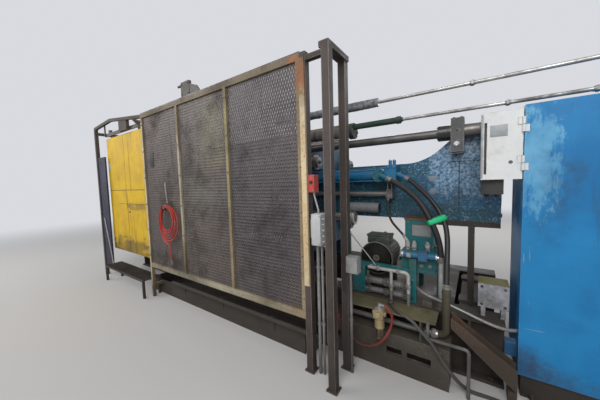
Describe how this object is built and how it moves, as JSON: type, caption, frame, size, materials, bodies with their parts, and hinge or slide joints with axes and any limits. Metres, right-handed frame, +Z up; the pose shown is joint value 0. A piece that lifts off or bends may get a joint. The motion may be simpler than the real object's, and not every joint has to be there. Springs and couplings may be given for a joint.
{
  "type": "cold-chamber die casting machine",
  "caption": "Horizontal die casting machine with toggle closing end, injection end, hydraulic unit, electrical cabinet and a mesh operator guard with a sliding sheet door.",
  "frame": {"origin": "on the floor under the middle of the fixed platen, in the centre plane of the machine", "axes": "+X along the machine towards the injection end, -Y towards the operator, +Z up"},
  "size_m": [7.05, 2.72, 2.792],
  "materials": {
    "oily_steel": "oily steel with chips and dirt",
    "machine_blue": "worn machine paint",
    "bare_steel": "bare steel with an oil film",
    "cast_grey": "grey casting",
    "light_blue": "worn gloss paint",
    "tan_paint": "chipped light paint over rust",
    "teal_paint": "worn gloss paint",
    "motor_green": "oily paint",
    "cabinet_blue": "scratched gloss paint",
    "black_paint": "dusty paint",
    "white_paint": "satin paint",
    "mesh_steel": "dirty expanded steel mesh",
    "post_brown": "rusty brown primer",
    "yellow_paint": "worn yellow paint",
    "navy_paint": "dusty paint",
    "box_grey": "dusty grey paint",
    "brass_part": "dull brass",
    "red_rubber": "red hose",
    "black_rubber": "black hydraulic hose"
  },
  "bodies": {
    "machine": {"bed_frame": "oily_steel", "bed_beams": "oily_steel", "drip_trays": "oily_steel", "shot_step": "oily_steel", "fixed_platen": "machine_blue", "moving_platen": "machine_blue", "rear_platen": "machine_blue", "tie_bars": "bare_steel", "toggle_links": "cast_grey", "toggle_pins": "bare_steel", "crosshead": "cast_grey", "closing_cylinder": "machine_blue", "shot_frame_front": "machine_blue", "shot_frame_rear": "machine_blue", "shot_head": "machine_blue", "shot_cylinder": "machine_blue", "plunger": "bare_steel", "shot_sleeve": "cast_grey", "shot_support": "oily_steel", "strain_rods": "bare_steel", "rod_clamps": "cast_grey", "intensifier": "light_blue", "return_rod": "bare_steel", "rod_tray": "bare_steel", "accumulators": "tan_paint", "overhead_pipes": "bare_steel", "pump_frame": "teal_paint", "pump_motor": "motor_green", "pump_pipes": "bare_steel", "valve_tower": "teal_paint", "hydraulic_tank": "machine_blue", "cabinet": "cabinet_blue", "cabinet_plinth": "black_paint", "control_box": "white_paint", "guard_frame": "tan_paint", "mesh_left": "mesh_steel", "mesh_middle": "mesh_steel", "mesh_right": "mesh_steel", "portal_posts": "post_brown", "door_track": "post_brown", "end_panel": "navy_paint", "step_grating": "mesh_steel", "rear_guard_frame": "tan_paint", "rear_guard_panels": "mesh_steel", "coolant_pipe": "oily_steel", "post_boxes": "box_grey", "conduits": "bare_steel", "air_regulator": "brass_part", "chute": "post_brown", "support_block": "cast_grey", "hose_hook": "black_paint", "hose_coil": "red_rubber", "hose_tail": "red_rubber", "pressure_hose_a": "black_rubber", "pressure_hose_b": "black_rubber", "pilot_hose": "black_rubber", "air_hose": "red_rubber"},
    "door": {"sliding_door": "yellow_paint", "door_hangers": "post_brown"},
    "box_lid": {"control_box_door": "white_paint"}
  },
  "joints": [
    {"name": "door_slide", "type": "slide", "parent": "machine", "child": "door", "axis": [1, 0, 0], "range_m": [0, 1.2]},
    {"name": "box_hinge", "type": "hinge", "parent": "machine", "child": "box_lid", "pos_m": [2.045, -0.71, 1.82], "axis": [0, 0, 1], "range_deg": [0, 105]}
  ]
}
